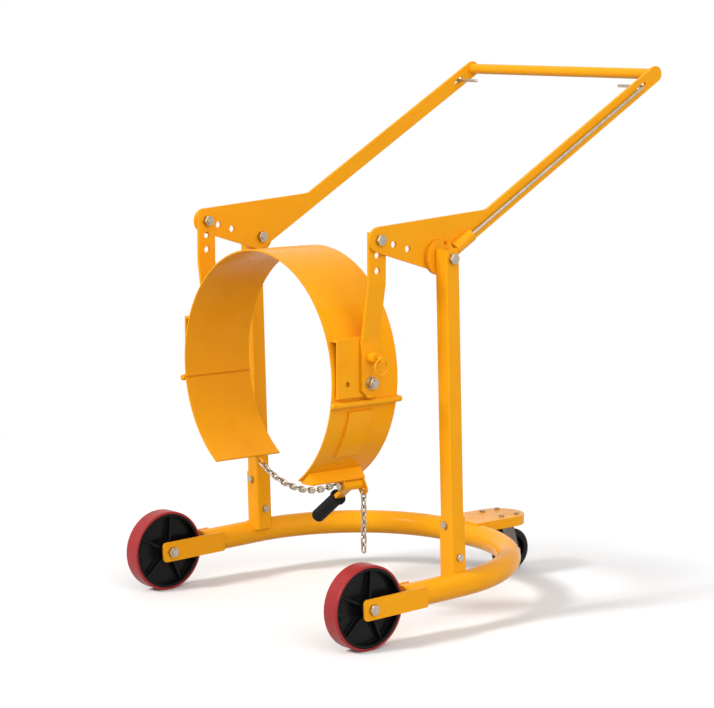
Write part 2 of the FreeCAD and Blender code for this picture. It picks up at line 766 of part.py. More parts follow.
pin = side_cylinder(index_pin_d / 2, index_spot, pin_tip, collar_from)
pin = pin.fuse([side_cylinder(index_collar_d / 2, index_spot, collar_from, collar_to),
                side_cylinder(stem_d / 2, index_spot, collar_to, knob_from),
                side_cylinder(knob_d / 2, index_spot, knob_from, knob_to)])
ring_middle = ring_at - V(0, 0, ring_r)
ring_hole = Part.makeTorus(ring_r, ring_wire / 2 + face_clear, ring_middle, Y_DIR)
save("index_pin", mirrored(pin.cut(ring_hole).removeSplitter()))
save("pull_ring", mirrored(Part.makeTorus(ring_r, ring_wire / 2, ring_middle, Y_DIR)))
index_spring = coil((index_collar_d + stem_d) / 4, index_spring_room - 2 * spring_wire, index_spring_turns,
                    index_spot + V(0, collar_to + spring_wire, 0), Y_DIR)
save("index_spring", mirrored(index_spring))

# Saddle: a rolled band with a trunnion bracket and half of a hinge on each side
hinge_r = band_out + barrel_stand
hinge_turn = 90 + hinge_deg
slit_turn = math.degrees(hinge_slit / band_out)
hinge_y = -hinge_r * math.cos(math.radians(hinge_deg))
hinge_z = trunnion.z - hinge_r * math.sin(math.radians(hinge_deg))
mid_from = x_front + knuckle_front
mid_to = mid_from + knuckle_mid


def knuckle(x_from, x_to, root_from, root_to):
    """A hinge knuckle over the top of the saddle, with its root on the band beside the slit."""
    barrel = cylinder(barrel_r, x_to - x_from, V(x_from, 0, hinge_r), X_DIR)
    root = slab(V(x_from, root_from, band_out - lap), V(x_to, root_to, hinge_r))
    return barrel.fuse(root)


def hinge_bore(play):
    return cylinder(hinge_pin_d / 2 + play, band_width + 2 * over, V(x_front - over, hinge_y, hinge_z), X_DIR)


def saddle_band():
    band = saddle_shell(band_r, band_out, x_front, x_rear, slit_turn - hinge_turn, hinge_turn - slit_turn)
    front = knuckle(x_front, mid_from - knuckle_gap, hinge_slit, barrel_r)
    rear = knuckle(mid_to + knuckle_gap, x_rear, hinge_slit, barrel_r)
    knuckles = both(round_saddle(front, hinge_turn)) + both(round_saddle(rear, hinge_turn))
    return band.fuse(knuckles).cut(both(hinge_bore(slip_clear)))


save("saddle_band", saddle_band().removeSplitter())


def trunnion_bracket(index_spots):
    low, high = trunnion.z - bracket_down, trunnion.z + bracket_up
    inner = math.sqrt(band_out ** 2 - bracket_up ** 2) - bracket_thick
    front, rear = x_front + bracket_inset, trunnion.x + bracket_behind
    block = slab(V(front, inner, low), V(rear, bracket_out, high))
    hollow = slab(V(front - over, inner - over, low + bracket_thick),
                  V(rear + over, bracket_out - bracket_thick, high - bracket_thick))
    inside = cylinder(band_out + weld_gap, band_width + 2 * over, V(x_front - over, 0, trunnion.z), X_DIR)
    boss_face = hanger_low_in - face_clear
    boss = side_cylinder(boss_d / 2, trunnion, bracket_out - lap, boss_face)
    cuts = [side_hole(m16_d / 2 + slip_clear, trunnion, bracket_out - bracket_thick, boss_face)]
    for spot in index_spots:
        cuts.append(side_hole(index_pin_d / 2 + face_clear, spot, bracket_out - bracket_thick, bracket_out))
    return block.cut([hollow, inside]).fuse(boss).cut(cuts)


upright_spot = trunnion - V(index_radius, 0, 0)
save("left_trunnion_bracket", mirrored(trunnion_bracket([index_spot, upright_spot])))
save("right_trunnion_bracket", trunnion_bracket([]))

# Trunnions: a stud welded in each bracket, with a washer and a nut outside the hanger
washer_from = hanger_low_out + face_clear
nut_from = washer_from + washer_thick
stud_end = nut_from + m16_nut + thread_proud
stud = side_cylinder(m16_d / 2, trunnion, bracket_out - bracket_thick, stud_end)
washer = side_cylinder(washer_d / 2, trunnion, washer_from, nut_from)
washer = washer.cut(side_hole(m16_d / 2 + slip_clear, trunnion, washer_from, nut_from))
save("trunnion_studs", *both(stud))
save("trunnion_nuts", *both(washer), *both(nut(M16, V(trunnion.x, nut_from, trunnion.z), Y_DIR)))


def hinge_pin():
    start = V(x_front - face_clear, hinge_y, hinge_z)
    end = V(x_rear + face_clear, hinge_y, hinge_z)
    head = [(0, 0, 0), (pin_head_d / 2, 0, 0), (pin_head_d / 2, pin_head, pin_head / 2), (0, pin_head, 0)]
    shank = cylinder(hinge_pin_d / 2, end.x - start.x, start, X_DIR)
    return shank.fuse([turned(head, start, -X_DIR), turned(head, end, X_DIR)])


save("hinge_pins", *both(hinge_pin()))


# Jaws: curved panels hinged to the band, with a raised stiffener down the middle
def left_jaw():
    rib_mid = trunnion.x + rib_offset
    sheet = saddle_shell(band_r, band_out, x_front, x_rear, hinge_turn + slit_turn, 90 + jaw_end_deg)
    rib = saddle_shell(band_out - lap, band_out + rib_thick, rib_mid - rib_width / 2,
                       rib_mid + rib_width / 2, 90 + rib_start_deg, 90 + rib_end_deg)
    barrel = round_saddle(knuckle(mid_from, mid_to, -barrel_r, -hinge_slit), hinge_turn)
    return sheet.fuse([rib, barrel]).cut(hinge_bore(run_clear)).removeSplitter()


jaw = left_jaw()
save("left_jaw", jaw)
save("right_jaw", mirrored(jaw))

# Chain tensioner on the left jaw: flange, clevis, over-centre lever and its grip
tension_r = band_out + tension_stand
tension_x = trunnion.x + tension_offset
tension_turn = 90 + tension_deg
chain_r = band_out + chain_stand
tail_r = tension_r + tail_eye_stand
foot_r = band_out + weld_gap
ear_front = tension_x - ear_gap / 2 - ear_thick
ear_rear = tension_x + ear_gap / 2


def jaw_cut():
    """Everything inside the outer face of a jaw, for pieces modelled over the top of the saddle."""
    return cylinder(foot_r, 2 * band_width, V(trunnion.x - band_width, 0, 0), X_DIR)


def tension_bracket():
    top = foot_r + flange_height
    start = x_front + flange_inset
    root = flange_back + lap
    flange = slab(V(start, flange_back, band_r), V(ear_rear + ear_thick, flange_back + flange_thick, top))
    gusset = [(root, top, 0), (root, band_r, 0), (-ear_r, band_r, 0), (-ear_r, foot_r + gusset_toe, 0)]
    plates = [plate_yz(gusset, start, start + ear_thick)]
    for x, tip in ((ear_front, tension_r + ear_r), (ear_rear, tail_r + eye_r + eye_rim)):
        ear = [(root, band_r, 0), (root, top, 0), (ear_r, tip, ear_round), (-ear_r, tip, ear_round),
               (-ear_r, band_r, 0)]
        plates.append(plate_yz(ear, x, x + ear_thick))
    bolt_hole = cylinder(m10_d / 2 + slip_clear, ear_gap + 4 * ear_thick,
                         V(ear_front - ear_thick, 0, tension_r), X_DIR)
    tail_hole = cylinder(eye_r, ear_thick + 2 * over, V(ear_rear - over, 0, tail_r), X_DIR)
    return flange.fuse(plates).cut([jaw_cut(), bolt_hole, tail_hole])


def lever_bar(play):
    """The flat bar of the tensioner's lever, or with play the pocket for it in the grip."""
    half_x = bar_flat / 2 + play
    half_z = bar_flat_thick / 2 + play
    end = grip_floor - grip_start - grip_length - play
    return slab(V(tension_x - half_x, end, tension_r - half_z), V(tension_x + half_x, 0, tension_r + half_z))


def tension_lever():
    hub_half = ear_gap / 2 - face_clear
    hub = cylinder(lever_hub_r, 2 * hub_half, V(tension_x - hub_half, 0, tension_r), X_DIR)
    tip = band_out + claw_clear
    throat = chain_r + chain_wire
    claw = [(0, tension_r, 0), (-claw_reach, tension_r, claw_round), (-claw_reach, tip, claw_round),
            (claw_width - claw_reach, tip, claw_round), (claw_width - claw_reach, throat, 0), (0, throat, 0)]
    hook = plate_yz(claw, tension_x - hook_half, tension_x + hook_half)
    bore = cylinder(m10_d / 2 + run_clear, ear_gap, V(tension_x - ear_gap / 2, 0, tension_r), X_DIR)
    return hub.fuse([hook, lever_bar(0)]).cut(bore)


def tension_grip():
    collar_r = grip_collar_d / 2
    profile = [(0, 0, 0), (collar_r, 0, grip_collar_round), (collar_r, grip_collar, grip_collar_round),
               (grip_d / 2, grip_collar, 0), (grip_d / 2, grip_length, grip_round), (0, grip_length, 0)]
    return turned(profile, V(tension_x, -grip_start, tension_r), -Y_DIR).cut(lever_bar(slip_clear))


bolt_length = ear_gap + 2 * ear_thick + m10_nut + thread_proud
tension_set = [bolt(M10, bolt_length, V(ear_front, 0, tension_r), X_DIR),
               nut(M10, V(ear_rear + ear_thick, 0, tension_r), X_DIR)]
save("tension_bracket", round_saddle(tension_bracket(), tension_turn))
save("tension_bolt", *[round_saddle(piece, tension_turn) for piece in tension_set])
save("tension_lever", round_saddle(tension_lever(), tension_turn))
save("tension_grip", round_saddle(tension_grip(), tension_turn))


# Chain: round-wire links, each turned a quarter from the last
def chain_link():
    """One link at the origin, long along Y and flat in the XY plane."""
    wire_r = chain_wire / 2
    end_r = (link_width - chain_wire) / 2
    straight = link_inside + chain_wire - 2 * end_r
    pieces = []
    for way in (LEFT, RIGHT):
        ring = Part.Face(Part.Wire([Part.makeCircle(wire_r, V(end_r, way * straight / 2, 0), Y_DIR)]))
        pieces.append(ring.revolve(V(0, way * straight / 2, 0), Z_DIR, way * 180))
        pieces.append(cylinder(wire_r, straight, V(way * end_r, -straight / 2, 0), Y_DIR))
    return pieces[0].fuse(pieces[1:])


link = chain_link()
link_pitch = link_inside - link_slack
pitch_turn = math.degrees(link_pitch / chain_r)
claw_bear = claw_reach - claw_width - hook_nip
first_turn = tension_turn + math.degrees((claw_bear + link_inside / 2) / chain_r)
jaw_edge_turn = 270 - jaw_end_deg
eye_shift = link_inside / 2 + eye_r - hook_nip
chain_room = math.radians(jaw_edge_turn - first_turn) * chain_r - eye_shift
chain_links = 1 + 2 * int(chain_room / (2 * link_pitch))
links = []
for i in range(chain_links):
    piece = link.copy()
    if i % 2:
        piece.rotate(V(0, 0, 0), Y_DIR, 90)
    piece.translate(V(tension_x, 0, chain_r))
    links.append(round_saddle(piece, first_turn + pitch_turn * i))
save("clamp_chain", *links)

# Anchor on the right jaw for the chain's fixed end
anchor_turn = first_turn + pitch_turn * (chain_links - 1) + math.degrees(eye_shift / chain_r)


def chain_anchor():
    jaw_edge = math.radians(anchor_turn - jaw_edge_turn) * band_out
    end = jaw_edge - anchor_lap
    rim = eye_r + eye_rim
    ear = [(rim, chain_r + rim, eye_rim), (rim, band_r, 0), (end, band_r, 0), (end, foot_r + eye_rim, 0)]
    plate = plate_yz(ear, tension_x - ear_thick / 2, tension_x + ear_thick / 2)
    eye = cylinder(eye_r, 2 * ear_thick, V(tension_x - ear_thick, 0, chain_r), X_DIR)
    return round_saddle(plate.cut([jaw_cut(), eye]), anchor_turn)


save("chain_anchor", chain_anchor())

# Spare tail of the chain, hanging plumb from the rear ear of the tensioner
tail_x = ear_rear + ear_thick / 2
tail_y = -tail_r * math.cos(math.radians(tension_deg))
tail_z = trunnion.z - tail_r * math.sin(math.radians(tension_deg))
tail = []
for i in range(tail_links):
    piece = link.copy()
    piece.rotate(V(0, 0, 0), X_DIR, 90)
    if i % 2:
        piece.rotate(V(0, 0, 0), Z_DIR, 90)
    piece.translate(V(tail_x, tail_y, tail_z - eye_shift - link_pitch * i))
    tail.append(piece)
save("chain_tail", *tail)

# Caster bracket: a sheet channel with a round end, welded over the back of the tube
tube_rear = frame_point(post_setback + bend_r, 0)
sheet_low = tube_rear.z + tube_r - sheet_sink
sheet_high = sheet_low + sheet_thick
skirt_low = sheet_high - sheet_skirt
plate_low = sheet_low - plate_thick
swivel = V(tube_rear.x + caster_behind, 0, 0)
sheet_edge = tube_rear.x - sheet_front
bolt_spots = [V(swivel.x + i * bolt_x / 2, j * bolt_y / 2, 0) for i in (-1, 1) for j in (-1, 1)]
hole_depth = sheet_high - plate_low + 2 * over
plate_holes = [cylinder(m8_d / 2 + slip_clear, hole_depth, spot + Z_DIR * (plate_low - over), Z_DIR)
               for spot in bolt_spots]


def channel(half, front, z_from, z_to):
    """A block with square front corners and a half-round end about the swivel."""
    rear = swivel.x + half
    corners = [(front, -half, 0), (rear, -half, half), (rear, half, half), (front, half, 0)]
    return plate_xy(corners, z_from, z_to)


def caster_bracket():
    block = channel(sheet_half, sheet_edge, skirt_low, sheet_high)
    hollow = channel(sheet_half - sheet_thick, sheet_edge - over, skirt_low - over, sheet_low)
    ahead = slab(V(sheet_edge - over, -sheet_half - over, skirt_low - over),
                 V(tube_rear.x, sheet_half + over, sheet_low))
    return block.cut([hollow, ahead, tube_cope] + plate_holes)


save("caster_bracket", caster_bracket())

# Caster: bolted top plate with the fixed race, kingpin, balls, and the fork that swivels under them
race_low = plate_low - race_height
plate_front, plate_rear = swivel.x - plate_x / 2, swivel.x + plate_x / 2
corners = [(plate_front, -plate_y / 2, plate_corner), (plate_rear, -plate_y / 2, plate_corner),
           (plate_rear, plate_y / 2, plate_corner), (plate_front, plate_y / 2, plate_corner)]
top_plate = plate_xy(corners, plate_low, sheet_low)
top_plate = top_plate.fuse(cylinder(race_r, race_height, swivel + Z_DIR * race_low, Z_DIR))
recess = cylinder(race_in, race_height + over, swivel + Z_DIR * (race_low - over), Z_DIR)
pin_start = swivel + Z_DIR * (plate_low - over)
pin_hole = cylinder(kingpin_d / 2 + slip_clear, plate_thick + 2 * over, pin_start, Z_DIR)
save("caster_plate", top_plate.cut(plate_holes + [recess, pin_hole]))

caster_bolts = []
for spot in bolt_spots:
    grip = sheet_thick + plate_thick
    caster_bolts.append(bolt(M8, grip + m8_nut + thread_proud, spot + Z_DIR * sheet_high, -Z_DIR))
    caster_bolts.append(nut(M8, spot + Z_DIR * plate_low, -Z_DIR))
save("caster_bolts", *caster_bolts)

ball_z = race_low - ball_gap - ball_r
balls = []
for i in range(ball_count):
    angle = math.radians(360 / ball_count * i)
    spot = swivel + V(ball_ring * math.cos(angle), ball_ring * math.sin(angle), ball_z)
    balls.append(Part.makeSphere(ball_r, spot))
save("caster_balls", *balls)

crown_top = ball_z - ball_r - ball_gap
crown_low = crown_top - crown_thick
nut_top = crown_low - face_clear
kingpin_low = nut_top - kingpin_nut
kingpin = cylinder(kingpin_d / 2, sheet_low - kingpin_low, swivel + Z_DIR * kingpin_low, Z_DIR)
save("caster_kingpin", kingpin.fuse(hexagon(kingpin_flats, kingpin_nut, swivel + Z_DIR * nut_top, -Z_DIR)))

caster_at = swivel + V(caster_trail, 0, caster_d / 2)
fork_in = fork_gap / 2
fork_out = fork_in + fork_thick


def caster_fork():
    bore = kingpin_d / 2 + run_clear
    rim_top = crown_top + crown_rim
    dish_r = crown_r - crown_rim
    profile = [(bore, crown_low, 0), (crown_r, crown_low, crown_round), (crown_r, rim_top, 0),
               (dish_r, rim_top, 0), (dish_r, crown_top, 0), (bore, crown_top, 0)]
    crown = turned(profile, swivel, Z_DIR)
    chord = math.sqrt(crown_r ** 2 - fork_out ** 2)
    top = crown_low + lap
    low = caster_at.z - fork_tip
    outline = [(swivel.x - chord + lap, top, 0), (caster_at.x - fork_tip, low, fork_tip_round),
               (caster_at.x + fork_tip, low, fork_tip_round), (swivel.x + chord + fork_heel, top, 0)]
    leg = plate_xz(outline, fork_in, fork_out)
    leg = leg.cut(side_hole(m10_d / 2 + slip_clear, caster_at, fork_in, fork_out))
    return crown.fuse(both(leg))


save("caster_fork", caster_fork())
axle_base = caster_at - Y_DIR * fork_out
save("caster_axle", bolt(M10, 2 * fork_out + m10_nut + thread_proud, axle_base, Y_DIR),
     nut(M10, caster_at + Y_DIR * fork_out, Y_DIR))


# Caster wheel: a dished hub with a rubber tyre
def caster_hub():
    bore = m10_d / 2 + run_clear
    hub_half = fork_in - face_clear
    tyre_half = caster_width / 2
    rim = caster_rim_r - caster_rim
    upper = [(bore, hub_half, 0), (caster_hub_r, hub_half, caster_hub_round),
             (caster_hub_r, caster_web / 2, 0), (rim, caster_web / 2, 0),
             (rim, tyre_half, caster_rim_round), (caster_rim_r, tyre_half, 0)]
    lower = [(r, -y, corner_r) for r, y, corner_r in reversed(upper)]
    return turned(upper + lower, caster_at, Y_DIR)


save("caster_hub", caster_hub())
tyre = sleeve(caster_rim_r, caster_d / 2, caster_width / 2, 0, caster_round)
tyre.translate(caster_at)
save("caster_tyre", tyre)
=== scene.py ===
import json
import math
import bmesh
import bpy
from mathutils import Matrix, Vector


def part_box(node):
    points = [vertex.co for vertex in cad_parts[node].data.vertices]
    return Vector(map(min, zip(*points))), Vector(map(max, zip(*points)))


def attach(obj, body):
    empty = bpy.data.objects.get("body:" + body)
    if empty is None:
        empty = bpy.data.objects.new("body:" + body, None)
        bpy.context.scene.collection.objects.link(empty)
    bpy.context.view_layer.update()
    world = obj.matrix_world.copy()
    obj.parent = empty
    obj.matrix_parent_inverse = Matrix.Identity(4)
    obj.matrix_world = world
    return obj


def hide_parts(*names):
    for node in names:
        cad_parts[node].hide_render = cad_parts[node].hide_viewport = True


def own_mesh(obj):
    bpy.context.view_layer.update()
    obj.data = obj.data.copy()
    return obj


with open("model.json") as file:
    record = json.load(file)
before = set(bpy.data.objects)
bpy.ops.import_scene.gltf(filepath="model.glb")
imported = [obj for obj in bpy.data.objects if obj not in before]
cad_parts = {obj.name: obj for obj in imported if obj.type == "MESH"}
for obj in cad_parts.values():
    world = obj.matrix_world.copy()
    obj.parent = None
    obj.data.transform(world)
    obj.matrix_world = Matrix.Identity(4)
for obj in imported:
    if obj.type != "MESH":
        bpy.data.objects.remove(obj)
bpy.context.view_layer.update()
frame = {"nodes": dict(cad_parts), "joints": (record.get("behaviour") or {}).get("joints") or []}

# Base frame: one steel tube bent to a U that lies flat round the back, with pressed caps welded
# into its two front ends. Like all the steelwork it is sprayed with glossy yellow-orange paint,
# which flows into a faint orange-peel skin and rounds off the cut edges. Lengths are in metres.


class Shade:
    """A socket of a material. Arithmetic on it adds Math nodes, and node() adds any other kind."""

    def __init__(self, tree, socket=None):
        self.tree = tree
        self.socket = socket

    def fill(self, node, inputs):
        for key, value in inputs.items():
            if isinstance(value, Shade):
                self.tree.links.new(value.socket, node.inputs[key])
            else:
                node.inputs[key].default_value = value

    def node(self, kind, settings, inputs, output=0):
        made = self.tree.nodes.new(kind)
        for key, value in settings.items():
            setattr(made, key, value)
        self.fill(made, inputs)
        return Shade(self.tree, made.outputs[output])

    def maths(self, operation, other):
        return self.node("ShaderNodeMath", {"operation": operation}, {0: self, 1: other})

    def __add__(self, other):
        return self.maths("ADD", other)

    def __mul__(self, other):
        return self.maths("MULTIPLY", other)

    __radd__ = __add__
    __rmul__ = __mul__

    def place(self):
        return self.node("ShaderNodeTexCoord", {}, {}, "Object")

    def noise(self, scale, detail=2.0):
        """Cloudy grain on the piece, from 0 to 1, with scale in lumps to the metre."""
        inputs = {"Vector": self.place(), "Scale": scale, "Detail": detail}
        return self.node("ShaderNodeTexNoise", {}, inputs, "Fac")

    def band(self, value, low, high):
        """0 where value is under low, rising to 1 over high."""
        return self.node("ShaderNodeMapRange", {"interpolation_type": "SMOOTHSTEP"},
                         {"Value": value, "From Min": low, "From Max": high})

    def blend(self, share, first, second):
        """A colour that goes from first to second as share goes from 0 to 1."""
        return self.node("ShaderNodeMix", {"data_type": "RGBA"}, {0: share, 6: first, 7: second}, 2)

    def bump(self, height, depth):
        return self.node("ShaderNodeBump", {}, {"Height": height, "Strength": 1.0, "Distance": depth})


def new_finish(name, **fixed):
    """A material, the start of its node expressions and its shader, with the fixed sockets set."""
    material = bpy.data.materials.new(name)
    material.use_nodes = True
    shader = material.node_tree.nodes["Principled BSDF"]
    start = Shade(material.node_tree)
    for key, value in fixed.items():
        socket = key.replace("_", " ").title().replace("Ior", "IOR")
        start.fill(shader, {socket: value})
    return material, start, shader


def yellow_paint():
    material, start, shader = new_finish("yellow_paint", specular_ior_level=0.09)
    clouds = start.noise(5.0, 3.0)
    handled = start.band(start.noise(24.0, 4.0), 0.5, 0.75)
    tone = start.blend(clouds, (0.84, 0.335, 0.006, 1), (0.91, 0.385, 0.009, 1))
    start.fill(shader, {
        "Base Color": start.blend(handled * 0.25, tone, (0.76, 0.285, 0.006, 1)),
        "Roughness": 0.22 + 0.14 * handled,
        "Normal": start.bump(start.noise(260.0, 1.0), 0.00006),
    })
    return material


paint = yellow_paint()
paint_edge = 0.0007
sharp_angle = math.radians(38)


def dress(names, material, edge):
    """Gives CAD nodes their material, with sharp edges rounded by edge metres, or left crisp at 0."""
    for name in names:
        node = frame["nodes"][name]
        node.data.materials.clear()
        node.data.materials.append(material)
        node.data.shade_smooth()
        joined = node.modifiers.new("joined", "WELD")
        joined.merge_threshold = 0.00001
        if edge:
            flats = node.modifiers.new("flats", "DECIMATE")
            flats.decimate_type = "DISSOLVE"
            flats.angle_limit = math.radians(0.5)
            rounded = node.modifiers.new("rounded", "BEVEL")
            rounded.width = edge
            rounded.segments = 2
            rounded.limit_method = "ANGLE"
            rounded.angle_limit = sharp_angle
            rounded.use_clamp_overlap = False
            node.modifiers.new("even", "WEIGHTED_NORMAL")
        else:
            crisp = node.modifiers.new("crisp", "EDGE_SPLIT")
            crisp.split_angle = sharp_angle


dress(["base_tube", "tube_caps"], paint, paint_edge)

# Wheel forks: two flat steel cheeks a side, cut with rounded front corners and welded to the tube,
# with a short run of weld up the back edge of each.
joints = {joint["name"]: joint for joint in frame["joints"]}
axle = Vector(joints["left_wheel_spin"]["pos_m"])
rake = math.radians(1.8)
along_frame = Vector((math.cos(rake), 0, math.sin(rake)))
above_frame = Vector((-math.sin(rake), 0, math.cos(rake)))
tube_r = 0.030
leg_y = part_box("base_tube")[1].y - tube_r
cheek_rear = 0.166      # rear edge of a cheek, back from the axle
cheek_seam = 0.014      # end of the weld on that edge, above and below the tube's middle
bead_r = 0.0022
bead_dip = 0.8          # share of the bead's radius that is left between two ripples
ripple = 0.0015


def on_frame(back, side, up):
    """A point by its distance back from the axle, across the machine and above the tube's middle."""
    return Vector((axle.x, side, axle.z)) + along_frame * back + above_frame * up


def spread(first, last):
    """Evenly spread values from first to last, at most a weld's ripple apart."""
    count = math.ceil(abs(last - first) / ripple)
    return [first + (last - first) * i / count for i in range(count + 1)]


def add_object(name, data):
    made = bpy.data.objects.new(name, data)
    bpy.context.scene.collection.objects.link(made)
    return made


def weld(name, seams, body, closed=False):
    """Lays a rippled bead of weld along each seam, painted with the body that it joins."""
    run = bpy.data.curves.new(name, "CURVE")
    run.dimensions = "3D"
    run.bevel_depth = bead_r
    run.bevel_resolution = 2
    run.use_fill_caps = True
    for seam in seams:
        spline = run.splines.new("POLY")
        spline.points.add(len(seam) - 1)
        spline.use_cyclic_u = closed
        for i, (point, spot) in enumerate(zip(spline.points, seam)):
            point.co = (*spot, 1)
            point.radius = bead_dip if i % 2 else 1.0
    path = bpy.data.objects.new(name + "_path", run)
    bead = add_object(name, bpy.data.meshes.new_from_object(path))
    bpy.data.objects.remove(path)
    bpy.data.curves.remove(run)
    bead.data.materials.append(paint)
    bead.data.shade_smooth()
    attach(bead, body)


def round_tube(up):
    """How far the tube's wall is from its middle line at a height above it."""
    return math.sqrt(tube_r ** 2 - up ** 2)


dress(["left_fork_cheeks", "right_fork_cheeks"], paint, paint_edge)
cheek_seams = []
for leg in (-leg_y, leg_y):
    for face in (-1, 1):
        cheek_seams.append([on_frame(cheek_rear, leg + face * round_tube(up), up)
                            for up in spread(-cheek_seam, cheek_seam)])
weld("cheek_welds", cheek_seams, "chassis")

# Axles: hexagon bolts through the fork cheeks, with lock nuts and a washer against each cheek.
# They are mild steel with a bright zinc plate that clouds slightly and takes a warm tint in places.


def zinc_plate():
    material, start, shader = new_finish("zinc_plate", metallic=1.0)
    clouds = start.noise(60.0, 4.0)
    tint = start.band(start.noise(25.0), 0.45, 0.7)
    bright = start.blend(clouds, (0.30, 0.26, 0.21, 1), (0.60, 0.53, 0.43, 1))
    start.fill(shader, {
        "Base Color": start.blend(tint * 0.45, bright, (0.52, 0.37, 0.19, 1)),
        "Roughness": 0.16 + 0.2 * clouds,
        "Normal": start.bump(start.noise(700.0), 0.00006),
    })
    return material


zinc = zinc_plate()
zinc_edge = 0.0004
dress(["wheel_axles", "axle_washers"], zinc, zinc_edge)

# Front wheels: a ribbed hub moulded in black nylon, a red polyurethane tyre cast round it and a
# bronze bush pressed into its boss.


def red_tyre():
    material, start, shader = new_finish("red_tyre", specular_ior_level=0.25)
    clouds = start.noise(14.0, 3.0)
    scuffs = start.band(start.noise(160.0, 5.0), 0.56, 0.72)
    tone = start.blend(clouds, (0.30, 0.016, 0.017, 1), (0.38, 0.024, 0.024, 1))
    start.fill(shader, {
        "Base Color": start.blend(scuffs * 0.35, tone, (0.44, 0.07, 0.065, 1)),
        "Roughness": 0.36 + 0.2 * scuffs,
        "Normal": start.bump(start.noise(260.0, 3.0), 0.0002),
    })
    return material


def black_nylon():
    material, start, shader = new_finish("black_nylon", specular_ior_level=0.12)
    clouds = start.noise(30.0, 3.0)
    start.fill(shader, {
        "Base Color": start.blend(clouds, (0.003, 0.003, 0.003, 1), (0.008, 0.008, 0.008, 1)),
        "Roughness": 0.16 + 0.16 * clouds,
        "Normal": start.bump(start.noise(900.0), 0.0001),
    })
    return material


def sintered_bronze():
    material, start, shader = new_finish("sintered_bronze", metallic=1.0)
    pores = start.noise(1500.0, 3.0)
    start.fill(shader, {
        "Base Color": start.blend(pores, (0.30, 0.19, 0.09, 1), (0.48, 0.32, 0.16, 1)),
        "Roughness": 0.35 + 0.25 * pores,
        "Normal": start.bump(pores, 0.0001),
    })
    return material


nylon = black_nylon()
moulded_edge = 0.001
dress(["left_wheel_tyre", "right_wheel_tyre"], red_tyre(), moulded_edge)
dress(["left_wheel_hub", "right_wheel_hub"], nylon, moulded_edge)
dress(["left_wheel_bush", "right_wheel_bush"], sintered_bronze(), zinc_edge)

# Posts: square steel tubes, open at the top, each bolted into a square socket that is coped to the
# tube below and welded to it along its front, its back and its outer side.
socket_at = 0.292       # middle of a socket, back from the axle
socket_low, socket_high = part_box("left_socket")
socket_half = (socket_high.y - socket_low.y) / 2
socket_y = -(socket_high.y + socket_low.y) / 2
seam_in = leg_y - tube_r + 0.003
seam_out = socket_y + socket_half
dress(["left_socket", "right_socket", "left_post", "right_post"], paint, paint_edge)
dress(["socket_bolts"], zinc, zinc_edge)


def socket_seam(side, back, across):
    """A spot where a socket's wall meets the top of the tube."""
    return on_frame(back, side * across, round_tube(across - leg_y))


socket_ends = (socket_at - socket_half, socket_at + socket_half)
socket_seams = []
for side in (-1, 1):
    for back in socket_ends:
        socket_seams.append([socket_seam(side, back, across) for across in spread(seam_in, seam_out)])
    socket_seams.append([socket_seam(side, back, seam_out) for back in spread(*socket_ends)])
weld("socket_welds", socket_seams, "chassis")

# Latch discs and lever pivots: a notched steel disc bolted to the inner face of each post, with the
# pivot bolt of the lever through it.
dress(["latch_discs"], paint, paint_edge)
dress(["pivot_bolts"], zinc, zinc_edge)

# Lever: two plates cut from 8 mm steel, each a drilled nose and a long arm in one, joined at the
# rear by a round cross bar that is welded all round at both ends.
pivot = Vector(joints["lever_lift"]["pos_m"])
arm_dir = Vector(joints["left_latch_slide"]["axis"])
arm_up = Vector((-arm_dir.z, 0, arm_dir.x))
arm_drop = 0.009        # middle of the arm, below the pivot
bar_at = 0.828          # cross bar, along the arm from the pivot
bar_r = 0.0135
arm_in = -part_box("left_lever_arm")[1].y
arm_out = -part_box("left_lever_arm")[0].y


def on_arm(reach, side, up):
    """A point by its distance along the arm from the pivot, across the machine and above its middle."""
    return Vector((pivot.x, side, pivot.z)) + arm_dir * reach + arm_up * (up - arm_drop)


dress(["left_lever_arm", "right_lever_arm", "handle_bar"], paint, paint_edge)
bar_turns = [reach / bar_r for reach in spread(0, math.tau * bar_r)[:-1]]
weld("cross_bar_welds", [[on_arm(bar_at + bar_r * math.cos(turn), side * arm_in, bar_r * math.sin(turn))
                          for turn in bar_turns] for side in (-1, 1)], "lever", closed=True)

# Lever latches: a half-round housing welded along the outside of each arm, with a coil spring and a
# plunger inside. The plunger's rod runs up the arm and turns in under the cross bar as a finger piece.
housing_r = 0.016
housing_from, housing_to = 0.047, 0.107
latch_y = -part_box("left_latch_housing")[0].y - housing_r
housing_half = math.sqrt(housing_r ** 2 - (latch_y - arm_out) ** 2)
dress(["left_latch_housing", "right_latch_housing"], paint, paint_edge)
dress(["left_release_rod", "right_release_rod"], zinc, 0)
weld("latch_welds", [[on_arm(reach, side * arm_out, edge) for reach in spread(housing_from, housing_to)]
                     for side in (-1, 1) for edge in (-housing_half, housing_half)], "lever")
spring_from, spring_to = 0.0676, 0.0998
spring_seat = 0.101     # end of the housing that the spring bears on
spring_r = 0.00525
spring_wire = 0.0012
spring_turns = 6
turn_steps = 24
wire_sides = 10


def new_piece(name, mesh, finish):
    """An object of a finished bmesh, at the origin and smoothly shaded."""
    made = bpy.data.meshes.new(name)
    mesh.to_mesh(made)
    mesh.free()
    made.materials.append(finish)
    made.shade_smooth()
    return add_object(name, made)


def stand_along(mesh, start, direction):
    """Turns a shape that was made up the Z axis to stand along a direction from a point."""
    turn = Vector((0, 0, 1)).rotation_difference(direction).to_matrix().to_4x4()
    mesh.transform(Matrix.Translation(start) @ turn)


